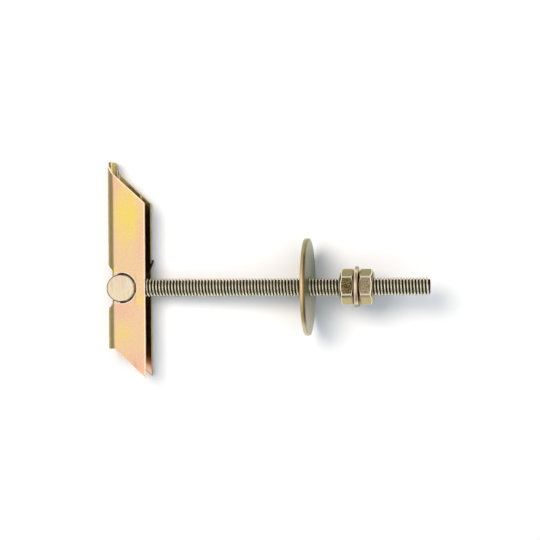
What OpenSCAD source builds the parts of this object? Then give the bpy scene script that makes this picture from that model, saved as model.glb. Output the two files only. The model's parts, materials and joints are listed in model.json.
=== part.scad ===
// M4 spring toggle bolt. A folded channel wing turns on a barrel nut that is screwed on the
// end of a threaded rod, and a fine coil spring round the barrel nut swings it out square to
// the rod. A large washer, a nut, a small washer and a second nut follow along the rod.
//
// The bolt is drawn in its own frame: the rod along +X, the barrel nut along +Z through the
// origin, and the wing's long arm along +Y. at_rest() then lays it down as it comes to rest
// on a table, on the wing's back edge and the large washer's rim, so the rod rises to +X.

/* [Threaded rod] */
// Diameter of the rod over its thread
rod_d = 3.9; // [3.6:0.05:4.1]
// Length of the rod
rod_len = 70; // [66:1:90]
// Reach of the rod's tail past the barrel nut's axis
rod_tail = 3.3; // [2.8:0.1:3.6]
// Chamfer at each end of the rod
rod_chamfer = 0.45; // [0.2:0.05:0.8]

/* [Barrel nut] */
// Diameter of the barrel nut
barrel_d = 6; // [5.6:0.1:6.4]
// Length of the barrel nut
barrel_len = 9; // [8.6:0.1:9.6]
// Chamfer at each end of the barrel nut
barrel_chamfer = 0.15; // [0.05:0.05:0.4]

/* [Wing sheet] */
// Thickness of the wing's sheet
sheet_t = 0.8; // [0.6:0.05:1]
// Inside radius of the wing's two bends
bend_r = 0.6; // [0.4:0.05:0.8]
// Width of the wing over its two flanges
wing_w = 8; // [7.6:0.1:9]
// Reach of the flanges past the barrel nut's axis, towards the nuts
rim_front = 5.2; // [4.6:0.1:7]
// Play between the rod and the web when the wing is folded flat
fold_clear = 0.3; // [0.2:0.05:0.6]

/* [Wing outline] */
// Length of the web on the long arm
long_web = 27.5; // [24:0.5:32]
// Where the long arm's slanted end meets the bend
long_shoulder = 24.7; // [22:0.1:25.5]
// Length of the flange rim on the long arm
long_rim = 18.4; // [15:0.1:21]
// Length of the web on the short arm
short_web = 13.3; // [10:0.1:16]
// Length of the flange rim on the short arm
short_rim = 19.6; // [17:0.1:24]

/* [Wing seat] */
// Play all round the barrel nut in the wing
seat_clear = 0.3; // [0.2:0.05:0.4]
// Reach of the web's window towards the long arm
window_long = 5.2; // [5:0.1:8]
// Reach of the web's window towards the short arm
window_short = 4.8; // [4.6:0.1:7]
// How much each end of the window narrows round the bends
window_taper = 1.45; // [0.6:0.05:1.6]
// How far round the bends the window stops, from the flanges, in degrees
window_stop = 12; // [6:1:30]
// How far the wing's lower flange stands past the barrel nut's end at rest
seat_step = 0.2; // [0.1:0.05:0.4]

/* [Return spring] */
// Diameter of the spring's wire
wire_d = 0.45; // [0.3:0.05:0.5]
// Play between the coil and the barrel nut
coil_clear = 0.15; // [0.1:0.05:0.2]
// Rise of the coil for each turn
coil_pitch = 0.5; // [0.45:0.05:0.6]
// Full turns of the coil besides the part turn between its legs
coil_turns = 1; // [0:1:1]
// Play between the wire and the rod or the wing that it bears on
wire_clear = 0.05; // [0.02:0.01:0.1]
// Reach of the leg along the rod
rod_leg = 3.6; // [3.2:0.1:3.8]
// Where the other leg crosses the wing's rim, along the long arm
hook_y = 5.2; // [4.6:0.1:8]
// Length of the hook behind the rim
hook_len = 1.1; // [0.6:0.1:2]

/* [Large washer] */
// Outer diameter of the large washer
large_washer_od = 21; // [18:0.5:30]
// Hole in the large washer
large_washer_id = 4.5; // [4.3:0.1:5]
// Thickness of the large washer
large_washer_t = 1.1; // [0.8:0.05:1.6]
// Distance from the barrel nut's axis to the large washer
large_washer_x = 39.8; // [34:0.1:42]

/* [Nuts and small washer] */
// Width of the nuts across their flats
nut_af = 6.9; // [6.6:0.05:7.2]
// Width of the nuts across their rounded corners
nut_ac = 7.66; // [7.5:0.02:7.9]
// Height of the nuts
nut_h = 3.2; // [2.6:0.1:3.6]
// Diameter of the nuts' flat face inside the chamfer
nut_face_d = 6; // [5.6:0.1:6.4]
// Slope of the nuts' chamfer
nut_chamfer_deg = 30; // [20:1:35]
// Width of the countersink at the nuts' thread
nut_mouth_d = 4.5; // [4.3:0.1:5]
// Turn of the nuts' upper flat from level
nut_turn = 5; // [0:1:15]
// Play between the rod and the bores that screw on it
thread_clear = 0.05; // [0.02:0.01:0.08]
// Gap on the rod between the large washer and the inner nut
nut_gap = 6.55; // [4:0.05:8]
// Outer diameter of the small washer
small_washer_od = 8.8; // [8:0.1:10]
// Hole in the small washer
small_washer_id = 4.3; // [4.2:0.05:4.8]
// Thickness of the small washer
small_washer_t = 0.8; // [0.5:0.05:1]
// Chamfer on the washers' rims
washer_chamfer = 0.12; // [0.05:0.01:0.2]

/* [Hidden] */
$fn = 64;
// Reach of a cutter past the face that it cuts
over = 1;
// Sides of a nut, and the turn from a corner to the middle of a side
hex_sides = 6;
half_side_deg = 180 / hex_sides;

// Threaded rod and its bores
rod_r = rod_d / 2;
rod_end = rod_len - rod_tail;
thread_bore = rod_d + 2 * thread_clear;

// Wing: the web stands just clear of the rod when the arm folds against it
web_back = rod_r + fold_clear + sheet_t;
bend_outer = bend_r + sheet_t;
bend_x = bend_outer - web_back;
web_half = wing_w / 2 - bend_outer;
wing_drop = (barrel_len - wing_w) / 2 + seat_step;
seat_d = barrel_d + 2 * seat_clear;
// Steps of a cut that climbs a bend
bend_steps = 6;

// Places along the rod
inner_nut_x = large_washer_x + large_washer_t + nut_gap;
small_washer_x = inner_nut_x + nut_h;
outer_nut_x = small_washer_x + small_washer_t;

// At rest the wing's lower bend and the large washer's lower rim both touch the table
foot_x = large_washer_x + washer_chamfer - bend_x;
foot_z = large_washer_od / 2 - (web_half + wing_drop);
tilt = atan2(foot_z, foot_x) - asin(bend_outer / norm([foot_x, foot_z]));
wing_low = (web_half + wing_drop) * cos(tilt) + bend_outer - bend_x * sin(tilt);

// Middle of the bolt's outline on the table
barrel_back = barrel_d / 2 * cos(tilt) + (barrel_len / 2 - barrel_chamfer) * sin(tilt);
tail_back = rod_tail * cos(tilt) + (rod_r - rod_chamfer) * sin(tilt);
end_front = rod_end * cos(tilt) + (rod_r - rod_chamfer) * sin(tilt);
mid_x = (end_front - max(barrel_back, tail_back)) / 2;
mid_y = (long_web - short_rim) / 2;

// Return spring: a coil under the rod, one leg beside the rod, one hooked over the far rim
wire_r = wire_d / 2;
wire_sides = 8;
turn_steps = 20;
leg_steps = 6;
// Shares of the rod leg's length: where it leaves the rod, dips, and meets the coil's level
leg_leaves = 0.86;
leg_dips = 0.65;
leg_levels = 0.4;
// Height of the rod leg's tip, and of its bend, beside the rod
leg_tip_z = rod_r / 4;
leg_bend_z = -rod_r / 2;
// Turn of the coil from its start at +Y back to +X
start_turn = 270;
// Straight run of the wire on each side of the rim
rim_run = 2 * wire_d;
coil_r = barrel_d / 2 + coil_clear + wire_r;
coil_top = -rod_r - coil_clear - wire_r;
far_inner = sheet_t - wing_w / 2 - wing_drop;
far_outer = -wing_w / 2 - wing_drop;
hook_x = rim_front + wire_clear + wire_r;
hook_low = far_outer - wire_clear - wire_r;
hook_lead = far_inner + wire_clear + 2 * wire_r;
leave_deg = atan2(hook_y, hook_x) - acos(coil_r / norm([hook_x, hook_y]));
sweep_deg = start_turn + leave_deg + 360 * coil_turns;
leg_y = rod_r + wire_clear + wire_r;

// Lays the bolt down at rest, with the middle of its outline at the origin
module at_rest() {
    translate([-mid_x, -mid_y, wing_low]) rotate([0, -tilt, 0]) children();
}

// Cylinder along +Z from the origin, with a chamfer at each end
module chamfered_bar(d, len, chamfer) {
    rotate_extrude()
        polygon([[0, 0], [d / 2 - chamfer, 0], [d / 2, chamfer],
                 [d / 2, len - chamfer], [d / 2 - chamfer, len], [0, len]]);
}

// Flat washer along +Z from the origin, with chamfered rims
module flat_washer(od, id, t) {
    rotate_extrude()
        polygon([[id / 2, 0], [od / 2 - washer_chamfer, 0], [od / 2, washer_chamfer],
                 [od / 2, t - washer_chamfer], [od / 2 - washer_chamfer, t], [id / 2, t]]);
}

// Turned envelope that rounds a nut's corners and chamfers both of its faces
module nut_envelope() {
    rise = (nut_ac - nut_face_d) / 2 * tan(nut_chamfer_deg);
    rotate_extrude()
        polygon([[0, 0], [nut_face_d / 2, 0], [nut_ac / 2, rise],
                 [nut_ac / 2, nut_h - rise], [nut_face_d / 2, nut_h], [0, nut_h]]);
}

// Bore of a nut along +Z, with a countersink at each face
module nut_bore() {
    sink = (nut_mouth_d - thread_bore) / 2;
    translate([0, 0, -over]) cylinder(d = thread_bore, h = nut_h + 2 * over);
    cylinder(d1 = nut_mouth_d, d2 = thread_bore, h = sink);
    translate([0, 0, nut_h - sink]) cylinder(d1 = thread_bore, d2 = nut_mouth_d, h = sink);
}

// Hexagon nut along +X from the origin, with a flat face up
module hex_nut() {
    rotate([-nut_turn, 0, 0]) rotate([0, 90, 0]) difference() {
        intersection() {
            rotate([0, 0, half_side_deg])
                cylinder(d = nut_af / cos(half_side_deg), h = nut_h, $fn = hex_sides);
            nut_envelope();
        }
        nut_bore();
    }
}

// Outline of a channel's end, open to +X and round at its two back corners
module channel_outline(back, half, r, front) {
    translate([r - back, -half]) square([front + back - r, 2 * half]);
    translate([-back, r - half]) square([r, 2 * (half - r)]);
    for (side = [-1, 1]) translate([r - back, side * (half - r)]) circle(r = r);
}

// The wing's folded channel, as long as its web at one end and its rims at the other
module folded_channel() {
    rotate([90, 0, 0]) translate([0, 0, -long_web])
        linear_extrude(long_web + short_rim)
            difference() {
                channel_outline(web_back, wing_w / 2, bend_outer, rim_front);
                channel_outline(web_back - sheet_t, wing_w / 2 - sheet_t, bend_r, rim_front + over);
            }
}

// Side view of the wing: the flanges' slanted ends, and the square web with both its bends
module wing_outline() {
    polygon([[rim_front, long_rim], [rim_front, -short_rim],
             [bend_x, -short_web], [-web_back, -short_web],
             [-web_back, long_web], [bend_x, long_web], [bend_x, long_shoulder]]);
}

// Cutter for one bend, from turn a0 to turn a1, where turn 0 meets the flange and 90 the web.
// low and high each give where it starts along the arm at a0 and at a1. The blank is cut flat
// before it is folded, so each cut runs straight along the sheet and stays square to it.
module bend_cutter(side, a0, a1, low, high) {
    function corner(i, r, y) = let (t = i / bend_steps, a = a0 + (a1 - a0) * t)
        [bend_x - r * sin(a), y[0] + (y[1] - y[0]) * t, side * (web_half + r * cos(a))];
    radii = [bend_r / 2, bend_outer + over];
    points = [for (i = [0 : bend_steps]) each [for (y = [low, high]) for (r = radii) corner(i, r, y)]];
    walls = [for (i = [0 : bend_steps - 1]) for (w = [[0, 1], [1, 3], [3, 2], [2, 0]])
             let (p = 4 * i + w[0], q = 4 * i + w[1]) each [[p, q, q + 4], [p, q + 4, p + 4]]];
    ends = [[0, 2, 3], [0, 3, 1], [for (k = [0, 1, 3]) 4 * bend_steps + k],
            [for (k = [0, 3, 2]) 4 * bend_steps + k]];
    faces = concat(walls, ends);
    polyhedron(points, side < 0 ? faces : [for (f = faces) [f[2], f[1], f[0]]]);
}

// Window through the web and both bends, which lets the rod's tail swing through
module window_cutter() {
    translate([-web_back - over, -window_short, -web_half])
        cube([sheet_t + 2 * over, window_short + window_long, 2 * web_half]);
    for (side = [-1, 1])
        bend_cutter(side, window_stop, 90,
                    [window_taper - window_short, -window_short],
                    [window_long - window_taper, window_long]);
}

module toggle_wing() {
    color([0.93, 0.82, 0.64])
    at_rest() translate([0, 0, -wing_drop]) difference() {
        intersection() {
            folded_channel();
            translate([0, 0, -wing_w / 2 - over]) linear_extrude(wing_w + 2 * over) wing_outline();
        }
        for (side = [-1, 1])
            bend_cutter(side, 0, 90, [long_shoulder, long_web], (long_web + over) * [1, 1]);
        window_cutter();
        translate([0, 0, -wing_w / 2 - over]) cylinder(d = seat_d, h = wing_w + 2 * over);
    }
}

module barrel_nut() {
    color([0.94, 0.88, 0.72])
    at_rest() difference() {
        translate([0, 0, -barrel_len / 2]) chamfered_bar(barrel_d, barrel_len, barrel_chamfer);
        translate([-barrel_d / 2 - over, 0, 0]) rotate([0, 90, 0])
            cylinder(d = thread_bore, h = barrel_d + 2 * over);
    }
}

module threaded_rod() {
    color([0.62, 0.6, 0.5])
    at_rest() translate([-rod_tail, 0, 0]) rotate([0, 90, 0])
        chamfered_bar(rod_d, rod_len, rod_chamfer);
}

module large_washer() {
    color([0.62, 0.62, 0.52])
    at_rest() translate([large_washer_x, 0, 0]) rotate([0, 90, 0])
        flat_washer(large_washer_od, large_washer_id, large_washer_t);
}

module inner_nut() {
    color([0.6, 0.57, 0.38])
    at_rest() translate([inner_nut_x, 0, 0]) hex_nut();
}

module small_washer() {
    color([0.86, 0.74, 0.55])
    at_rest() translate([small_washer_x, 0, 0]) rotate([0, 90, 0])
        flat_washer(small_washer_od, small_washer_id, small_washer_t);
}

module outer_nut() {
    color([0.68, 0.62, 0.48])
    at_rest() translate([outer_nut_x, 0, 0]) hex_nut();
}

// Point at share t of a cubic curve
function curve_at(p, t) = pow(1 - t, 3) * p[0] + 3 * t * pow(1 - t, 2) * p[1]
                        + 3 * t * t * (1 - t) * p[2] + pow(t, 3) * p[3];
// A curve's points, without its last
function curve(p) = [for (i = [0 : leg_steps - 1]) curve_at(p, i / leg_steps)];

// The leg beside the rod, from its tip down to the coil's start
rod_leg_tip = [rod_leg, leg_y, leg_tip_z];
rod_leg_bend = [rod_leg * leg_leaves, leg_y, leg_bend_z];
rod_leg_dip = [rod_leg * leg_dips, leg_y + wire_r, coil_top + wire_r];
rod_leg_level = [rod_leg * leg_levels, coil_r, coil_top];
function rod_leg_route() = concat([rod_leg_tip],
    curve([rod_leg_bend, rod_leg_dip, rod_leg_level, coil_point(0)]));

// The coil, seen from above, turns back from its start at +Y
function coil_point(a) = [-coil_r * sin(a), coil_r * cos(a), coil_top - coil_pitch * a / 360];
coil_steps = ceil(sweep_deg / 360 * turn_steps);
function coil_route() = [for (i = [0 : coil_steps]) coil_point(sweep_deg * i / coil_steps)];

// The leg to the rim, over it, and back along the flange's outer face
leg_way = [-sin(leave_deg), cos(leave_deg), 0];
rim_over = [hook_x, hook_y, hook_lead];
rim_in = rim_over - rim_run * leg_way;
rim_down = [hook_x, hook_y + wire_d, far_outer];
hook_tip = [hook_x - wire_r - hook_len, hook_y + rim_run, hook_low];
function hook_route() = concat(
    curve([rim_in, rim_over, rim_over + [0, wire_r, -wire_r], rim_down]),
    curve([rim_down, rim_down - [0, 0, wire_d], hook_tip + [hook_len / 2, 0, 0], hook_tip]),
    [hook_tip]);

// Wire swept along a route: a ring of points round each point of the route
function unit(v) = v / norm(v);
function way_at(route, i) = unit(route[min(i + 1, len(route) - 1)] - route[max(i - 1, 0)]);
function ring(p, way) = let (n = unit(cross(way, [0, 0, 1])), b = cross(n, way))
    [for (k = [0 : wire_sides - 1]) p + wire_r * (cos(360 * k / wire_sides) * n
                                                  + sin(360 * k / wire_sides) * b)];
function side_face(i, k) = let (j = (k + 1) % wire_sides, lo = i * wire_sides, hi = lo + wire_sides)
    [lo + k, lo + j, hi + j, hi + k];

module swept_wire(route) {
    last = len(route) - 1;
    polyhedron(
        points = [for (i = [0 : last]) each ring(route[i], way_at(route, i))],
        faces = concat(
            [[for (k = [wire_sides - 1 : -1 : 0]) k]],
            [for (i = [0 : last - 1]) for (k = [0 : wire_sides - 1]) side_face(i, k)],
            [[for (k = [0 : wire_sides - 1]) last * wire_sides + k]]));
}

module return_spring() {
    color([0.32, 0.32, 0.34])
    at_rest() swept_wire(concat(rod_leg_route(), coil_route(), hook_route()));
}

toggle_wing();
barrel_nut();
return_spring();
threaded_rod();
large_washer();
inner_nut();
small_washer();
outer_nut();
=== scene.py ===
import json
from contextlib import contextmanager
from math import acos, asin, atan2, ceil, copysign, cos, hypot, pi, radians, sin, sqrt, tan

import bmesh
import bpy
from bpy.props import FloatProperty, FloatVectorProperty, IntProperty, PointerProperty
from mathutils import Matrix, Vector
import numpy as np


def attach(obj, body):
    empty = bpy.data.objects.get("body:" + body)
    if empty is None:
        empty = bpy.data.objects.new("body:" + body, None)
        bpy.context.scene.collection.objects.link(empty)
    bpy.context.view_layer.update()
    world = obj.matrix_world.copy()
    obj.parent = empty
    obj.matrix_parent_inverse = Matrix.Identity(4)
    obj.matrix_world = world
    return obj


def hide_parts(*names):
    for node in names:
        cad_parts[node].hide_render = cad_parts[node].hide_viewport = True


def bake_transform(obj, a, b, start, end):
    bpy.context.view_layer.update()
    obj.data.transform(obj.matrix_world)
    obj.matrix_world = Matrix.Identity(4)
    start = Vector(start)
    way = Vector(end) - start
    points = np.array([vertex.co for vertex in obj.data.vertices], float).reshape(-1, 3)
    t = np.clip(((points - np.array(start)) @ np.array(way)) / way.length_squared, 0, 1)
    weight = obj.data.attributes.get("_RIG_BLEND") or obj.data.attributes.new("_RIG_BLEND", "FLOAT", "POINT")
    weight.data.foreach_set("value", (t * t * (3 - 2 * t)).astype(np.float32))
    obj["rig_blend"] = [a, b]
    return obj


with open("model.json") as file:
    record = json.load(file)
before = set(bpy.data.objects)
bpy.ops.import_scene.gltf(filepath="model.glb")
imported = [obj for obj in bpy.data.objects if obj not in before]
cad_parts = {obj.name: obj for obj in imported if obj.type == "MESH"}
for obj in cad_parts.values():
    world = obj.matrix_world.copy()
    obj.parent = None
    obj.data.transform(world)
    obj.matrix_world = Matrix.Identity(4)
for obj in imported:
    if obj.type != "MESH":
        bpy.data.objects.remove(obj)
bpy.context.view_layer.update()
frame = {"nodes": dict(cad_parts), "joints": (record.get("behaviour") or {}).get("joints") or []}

# The looks of a spring toggle bolt: its folded wing, barrel nut, return spring, threaded rod,
# washers and nuts. Each operator builds one piece, or a group of like pieces, round the packed
# model, and the last one lays the bolt on a white table under soft light.

bl_info = {
    "name": "Spring Toggle Bolt",
    "version": (1, 0, 0),
    "blender": (4, 5, 0),
    "location": "3D View > Sidebar > Toggle Bolt",
    "description": "Builds the looks of a spring toggle bolt round its packed model",
    "category": "Object",
}

MM = 0.001


# The bolt's own frame: X along the rod, Y along the wing's long arm and Z along the barrel nut,
# in millimetres from the middle of the barrel nut.

JOINTS = {joint["name"]: joint for joint in frame["joints"]}
PIVOT = Vector(JOINTS["wing_pivot"]["pos_m"])
UP = Vector(JOINTS["wing_pivot"]["axis"]).normalized()
ALONG = Vector(JOINTS["large_washer_slide"]["axis"]).normalized()
ACROSS = UP.cross(ALONG)
TURN = Matrix((ALONG, ACROSS, UP)).transposed().to_4x4()
BOLT = Matrix.Translation(PIVOT) @ TURN @ Matrix.Scale(MM, 4)


def own_points(node):
    """The points of a CAD node in the bolt's own millimetres."""
    back = BOLT.inverted()
    return [back @ vertex.co for vertex in frame["nodes"][node].data.vertices]


def reach(node, axis):
    """Lowest and highest place of a CAD node along one of the bolt's axes."""
    places = [point[axis] for point in own_points(node)]
    return min(places), max(places)


def ring_radii(node):
    """Bore and outer radius of a CAD node that lies round the rod."""
    radii = [hypot(point.y, point.z) for point in own_points(node)]
    return min(radii), max(radii)


def in_mm(settings, *names):
    """Lengths from a group of settings, in millimetres."""
    return [getattr(settings, name) / MM for name in names]


# Sizes and colours that a user may change

def number(name, description, value, **kind):
    return FloatProperty(name=name, description=description, default=value, **kind)


def metres(name, description, value):
    return number(name, description, value, min=0, unit="LENGTH", subtype="DISTANCE")


def length(name, description, millimetres):
    return metres(name, description, millimetres * MM)


def power(name, description, watts):
    return number(name, description, watts, min=0, unit="POWER", subtype="POWER")


def angle(name, description, degrees):
    return number(name, description, radians(degrees), unit="ROTATION", subtype="ANGLE")


def share(name, description, value):
    return number(name, description, value, min=0, max=1, subtype="FACTOR")


def count(name, description, value, least):
    return IntProperty(name=name, description=description, default=value, min=least)


def tone(name, description, *channels):
    """A colour given by its linear channels, from 0 to 1."""
    return FloatVectorProperty(name=name, description=description, default=channels, size=3,
                               min=0, max=1, subtype="COLOR")


def linear(channel):
    """Blender's linear level for a colour's usual channel, from 0 to 255."""
    level = channel / 255
    return level / 12.92 if level <= 0.04045 else ((level + 0.055) / 1.055) ** 2.4


def colour(name, description, *channels):
    """A colour given by its usual channels, from 0 to 255."""
    return tone(name, description, *map(linear, channels))


class WingSettings(bpy.types.PropertyGroup):
    """Sheet, outline and finish of the toggle wing."""

    sheet: length("Sheet", "Thickness of the wing's sheet", 0.8)
    bend: length("Bend", "Inside radius of the two bends", 0.6)
    seat_play: length("Seat play", "Play all round the barrel nut in the wing", 0.3)
    long_shoulder: length("Long shoulder", "Where the long arm's slant meets the bend", 24.7)
    long_rim: length("Long rim", "Length of the flange rim on the long arm", 18.4)
    short_web: length("Short web", "Length of the web on the short arm", 13.3)
    window_long: length("Window, long side", "Reach of the window to the long arm", 5.2)
    window_short: length("Window, short side", "Reach of the window to the short arm", 4.8)
    window_taper: length("Window taper", "How much each end narrows round the bends", 1.45)
    window_stop: angle("Window stop", "How far round the bends the window stops", 12)
    edge_round: length("Edge round", "Rounding of the sheet's cut edges", 0.19)
    peach: colour("Peach", "Main tone of the passivated zinc", 246, 209, 168)
    gold: colour("Gold", "Yellow patches", 255, 226, 100)
    rose: colour("Rose", "Pink patches", 250, 194, 172)
    # The cut-edge tone is partly rubbed zinc and partly a painted highlight.
    cut: colour("Cut edge", "Tone of the sheared edges", 250, 232, 206)
    # Painted light: the inner tone paints shade inside the fold, and the mouth tone paints the paler light
    # near the long arm's open end.
    inner: colour("Inner faces", "Thinner zinc inside the fold", 122, 86, 58)
    mouth: colour("Mouth", "Paler zinc inside the long arm's open end", 206, 196, 152)
    glancing: colour("Glancing", "Tone of the zinc seen along its surface", 214, 200, 162)
    # The bends' tone is partly duller zinc and partly painted shade, the darker reflection along the bends.
    dull_and_shaded: colour("Bends", "Duller zinc on the stretched bends", 188, 172, 128)
    roughness: share("Roughness", "Roughness of the sheet's faces", 0.3)


class BarrelSettings(bpy.types.PropertyGroup):
    """Edges and finish of the barrel nut."""

    bore_play: length("Bore play", "Play between the rod and the barrel nut's bore", 0.05)
    edge_round: length("Edge round", "Rounding of the turned edges", 0.2)
    cream: colour("Cream", "Main tone of the pale zinc", 250, 232, 204)
    straw: colour("Straw", "Yellow lines of the faced end", 240, 216, 150)
    blush: colour("Blush", "Pinkish bands of the faced end", 246, 212, 190)
    # Painted light: the rounded ends take a painted highlight on their +X side and painted shade on their -X
    # side.
    bright: colour("Bright edge", "Tone of the burnished side of the edge", 255, 250, 238)
    painted_edge_shade: colour("Dark edge", "Tone of the edge's stained side", 70, 54, 40)
    roughness: share("Roughness", "Roughness of the turned surfaces", 0.3)


class SpringSettings(bpy.types.PropertyGroup):
    """Wire, coil and legs of the return spring."""

    wire: length("Wire", "Diameter of the wire", 0.45)
    coil_play: length("Coil play", "Play between the coil and the barrel nut", 0.15)
    pitch: length("Pitch", "Rise of the coil for each turn", 0.5)
    wire_play: length("Wire play", "Play between the wire and what it bears on", 0.05)
    rod_leg: length("Rod leg", "Reach of the leg along the rod", 3.6)
    hook_place: length("Hook place", "Where the hook crosses the wing's rim", 5.2)
    hook: length("Hook", "Length of the hook behind the rim", 1.1)
    turns: count("Turns", "Full turns of the coil", 1, 0)
    steel: colour("Steel", "Tone of the drawn wire", 62, 61, 60)
    oil: colour("Oil", "Tone of the oiled streaks", 40, 38, 36)


class RodSettings(bpy.types.PropertyGroup):
    """Thread and finish of the rod."""

    pitch: length("Pitch", "Distance from one crest to the next", 0.7)
    depth: length("Depth", "Depth of the thread", 0.43)
    chamfer: length("Chamfer", "Chamfer at each end of the rod", 0.45)
    crest: share("Crest", "Share of the pitch that the crest takes", 0.22)
    root: share("Root", "Share of the pitch that the root takes", 0.16)
    sides: count("Sides", "Points round the rod", 40, 12)
    steps: count("Steps", "Points along one pitch", 12, 6)
    # The crest tone is partly rubbed zinc and partly a painted highlight; the groove tone is painted shade.
    crests: colour("Crests", "Tone of the rolled crests", 255, 243, 218)
    grooves: colour("Grooves", "Tone of the grooves", 70, 62, 48)
    rose: colour("Rose", "Rusty pink stains", 214, 160, 128)
    glancing: colour("Glancing", "Tone of the thread seen along its surface", 112, 102, 80)
    roughness: share("Roughness", "Roughness of the thread", 0.26)


class WasherSettings(bpy.types.PropertyGroup):
    """Rims and finish of the two washers."""

    seam_width: length("Seam width", "Width of the dark line along the punched edge", 0.42)
    punched_round: length("Punched round", "Rounding of the rim on the punch's side", 0.3)
    rim_round: length("Rim round", "Rounding of the rim on the other side", 0.2)
    edge_round: length("Edge round", "Rounding of the bore's edges", 0.09)
    sides: count("Sides", "Points round a washer", 160, 24)
    olive: colour("Olive", "Main tone of the large washer", 130, 133, 84)
    bloom: colour("Bloom", "Bluish bloom of the large washer", 116, 132, 140)
    # The blush tone paints light on the large washer's lower half.
    blush: colour("Blush", "Beige lower half of the large washer", 200, 192, 160)
    # The seam tone paints a line of shade beside the punched rim, and the rim tone is partly rubbed zinc and
    # partly a painted highlight.
    seam: colour("Seam", "Dark line along the punched edge", 150, 118, 90)
    rim: colour("Rim", "Tone of the worn rim", 232, 206, 152)
    # The rose side's pale tone is partly a painted highlight.
    rose: colour("Rose", "Rosy side of the small washer", 252, 222, 204)
    gold: colour("Gold", "Golden side of the small washer", 236, 200, 140)
    roughness: share("Roughness", "Roughness of the faces", 0.32)


class NutSettings(bpy.types.PropertyGroup):
    """Shape and finish of the two nuts."""

    flats: length("Across flats", "Width of a nut across its flats", 6.9)
    face: length("Face", "Diameter of the flat face inside the chamfer", 6.0)
    mouth: length("Mouth", "Width of the countersink at the thread", 4.5)
    edge_round: length("Edge round", "Rounding of the nuts' edges", 0.1)
    chamfer: angle("Chamfer", "Slope of the nuts' chamfer", 30)
    turn: angle("Turn", "Turn of the upper flat from level", 5)
    # The corners' rubbing carries a painted highlight.
    corner_wear_and_highlight: angle("Corner wear", "How far the wear reaches round from each corner", 5)
    sides: count("Sides", "Points round a nut", 240, 48)
    olive: colour("Olive", "Main tone of the zinc", 141, 131, 85)
    # The straw tone paints light on the nuts' -Y side.
    straw: colour("Straw", "Lighter side of the nuts", 190, 176, 126)
    # The uppermost flat is painted darker and mottled: partly mottled zinc, partly painted shade for the
    # darker reflection overhead.
    umber: colour("Umber", "Inner nut's uppermost flat", 140, 122, 84)
    blush: colour("Blush", "Outer nut's uppermost flat", 178, 158, 128)
    # This tone is partly mottling and also paints the shade lines beside the edges and the shade by the small
    # washer.
    stain_and_shade: colour("Stain", "Dark mottling of the uppermost flat", 66, 50, 26)
    # The edge tone is partly rubbed zinc and partly a painted highlight.
    edge: colour("Edge", "Tone of the worn edges", 250, 244, 216)
    roughness: share("Roughness", "Roughness of the flats", 0.32)


class StageSettings(bpy.types.PropertyGroup):
    """Table, light and camera."""

    lens: number("Lens", "Focal length, for a 36 mm sensor, in millimetres", 123.3, min=1)
    height: length("Camera height", "Height of the camera over the table", 409.4)
    aside: length("Camera aside", "Camera's place along the rod from the bolt's middle", 0.487)
    above: length("Camera above", "Camera's place along the wing from the bolt's middle", 4.792)
    pitch: angle("Camera pitch", "Lean of the camera from straight down", -0.722)
    roll: angle("Camera roll", "Turn of the camera about its own line of sight", -0.413)
    table: metres("Table", "Side of the table", 1.6)
    shade: tone("Table tone", "Tone of the table", 0.8, 0.8, 0.8)
    zenith: number("Zenith", "Brightness of the room overhead", 1.24)
    horizon: number("Horizon", "Brightness at the horizon", 0.28)
    falloff: number("Falloff", "How fast it darkens from overhead", 4)
    key_power: power("Key", "Power of the key lamp", 5.1)
    key_size: metres("Key size", "Width of the key lamp", 0.34)
    key_lean: angle("Key lean", "Lean of the key lamp from overhead", 24.5)
    key_from: angle("Key direction", "Where the key lamp stands, from +X round to +Y", 145)
    key_tone: tone("Key tone", "Warm tone of the key lamp", 1, 0.88, 0.78)
    fill_power: power("Fill", "Power of the fill lamp", 7.9)
    fill_size: metres("Fill size", "Width of the fill lamp", 1.2)
    fill_tone: tone("Fill tone", "Cool tone of the fill lamp", 0.83, 0.92, 1)
    lamp_far: metres("Lamps' distance", "Distance of both lamps", 0.8)


class BoltSettings(bpy.types.PropertyGroup):
    """All the settings of the bolt and its stage."""

    wing: PointerProperty(type=WingSettings)
    barrel: PointerProperty(type=BarrelSettings)
    spring: PointerProperty(type=SpringSettings)
    rod: PointerProperty(type=RodSettings)
    washer: PointerProperty(type=WasherSettings)
    nut: PointerProperty(type=NutSettings)
    stage: PointerProperty(type=StageSettings)


# Surface finishes

class Level:
    """A number that varies over a surface. Sums on levels add their own Math nodes."""

    def __init__(self, tree, socket):
        self.tree = tree
        self.socket = socket

    def __add__(self, other):
        return self.tree.math("ADD", self, other)

    def __sub__(self, other):
        return self.tree.math("SUBTRACT", self, other)

    def __rsub__(self, other):
        return self.tree.math("SUBTRACT", other, self)

    def __mul__(self, other):
        return self.tree.math("MULTIPLY", self, other)

    def __abs__(self):
        return self.tree.math("ABSOLUTE", self)

    __radd__ = __add__
    __rmul__ = __mul__

    def between(self, low, high):
        """0 below low, 1 above high and smooth between them."""
        return self.tree.level("Result", "ShaderNodeMapRange", {"interpolation_type": "SMOOTHSTEP"},
                               {"Value": self, "From Min": low, "From Max": high})


class Tree:
    """The nodes of a material or of the room's light."""

    def __init__(self, owner):
        owner.use_nodes = True
        self.tree = owner.node_tree
        self.tree.nodes.clear()

    def node(self, kind, settings, values):
        """Adds a node: its settings first, then the values or links of its sockets."""
        made = self.tree.nodes.new(kind)
        for name, value in settings.items():
            setattr(made, name, value)
        for name, value in values.items():
            socket = made.inputs[name]
            if isinstance(value, Level):
                value = value.socket
            if isinstance(value, bpy.types.NodeSocket):
                self.tree.links.new(value, socket)
            else:
                socket.default_value = value
        return made

    def level(self, output, kind, settings, values):
        """An output of a new node, as a level."""
        return Level(self, self.node(kind, settings, values).outputs[output])

    def math(self, operation, *values):
        """The result of a Math node."""
        return self.level(0, "ShaderNodeMath", {"operation": operation}, dict(enumerate(values)))


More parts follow.
